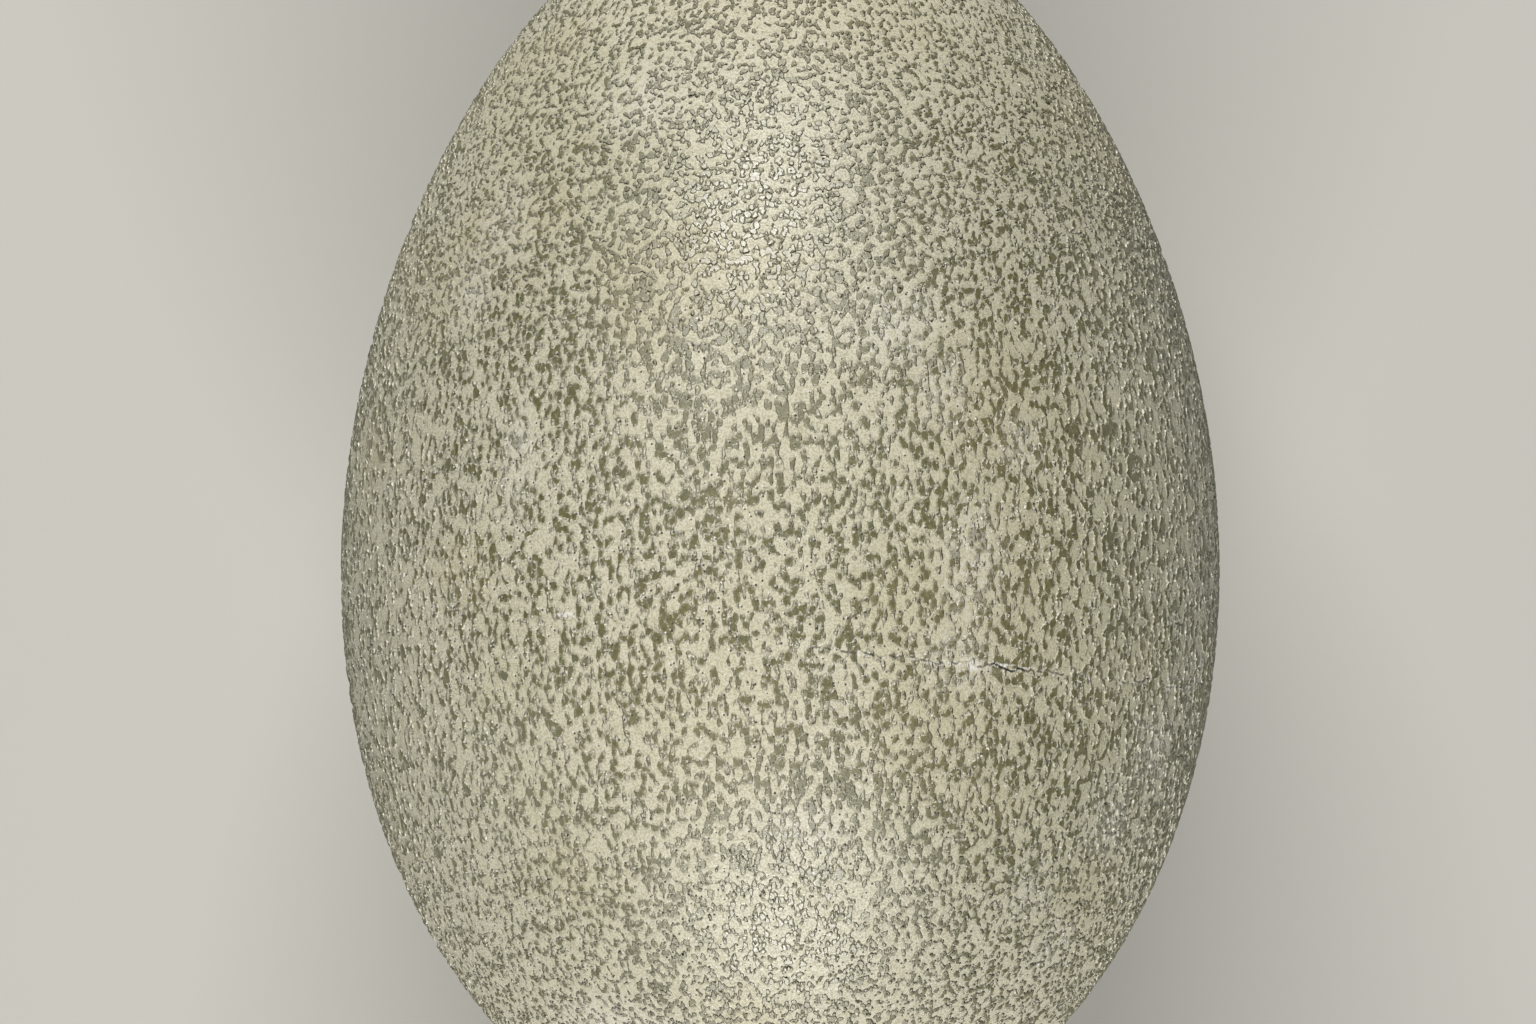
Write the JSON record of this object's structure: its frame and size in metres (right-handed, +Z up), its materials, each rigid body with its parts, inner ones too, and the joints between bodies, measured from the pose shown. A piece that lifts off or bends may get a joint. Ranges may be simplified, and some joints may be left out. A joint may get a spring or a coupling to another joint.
{
  "type": "cassowary egg",
  "caption": "Whole cassowary egg lying on its side, olive grains on a pale buff shell, resting on a small flat spot.",
  "frame": {"origin": "on the resting surface, under the middle of the egg's length and width", "axes": "+Y along the long axis towards the pointed end, +Z up from the resting spot, +X across the egg"},
  "size_m": [0.094, 0.1386, 0.0937],
  "materials": {
    "shell": "satin"
  },
  "bodies": {
    "root": {"egg": "shell"}
  },
  "joints": []
}
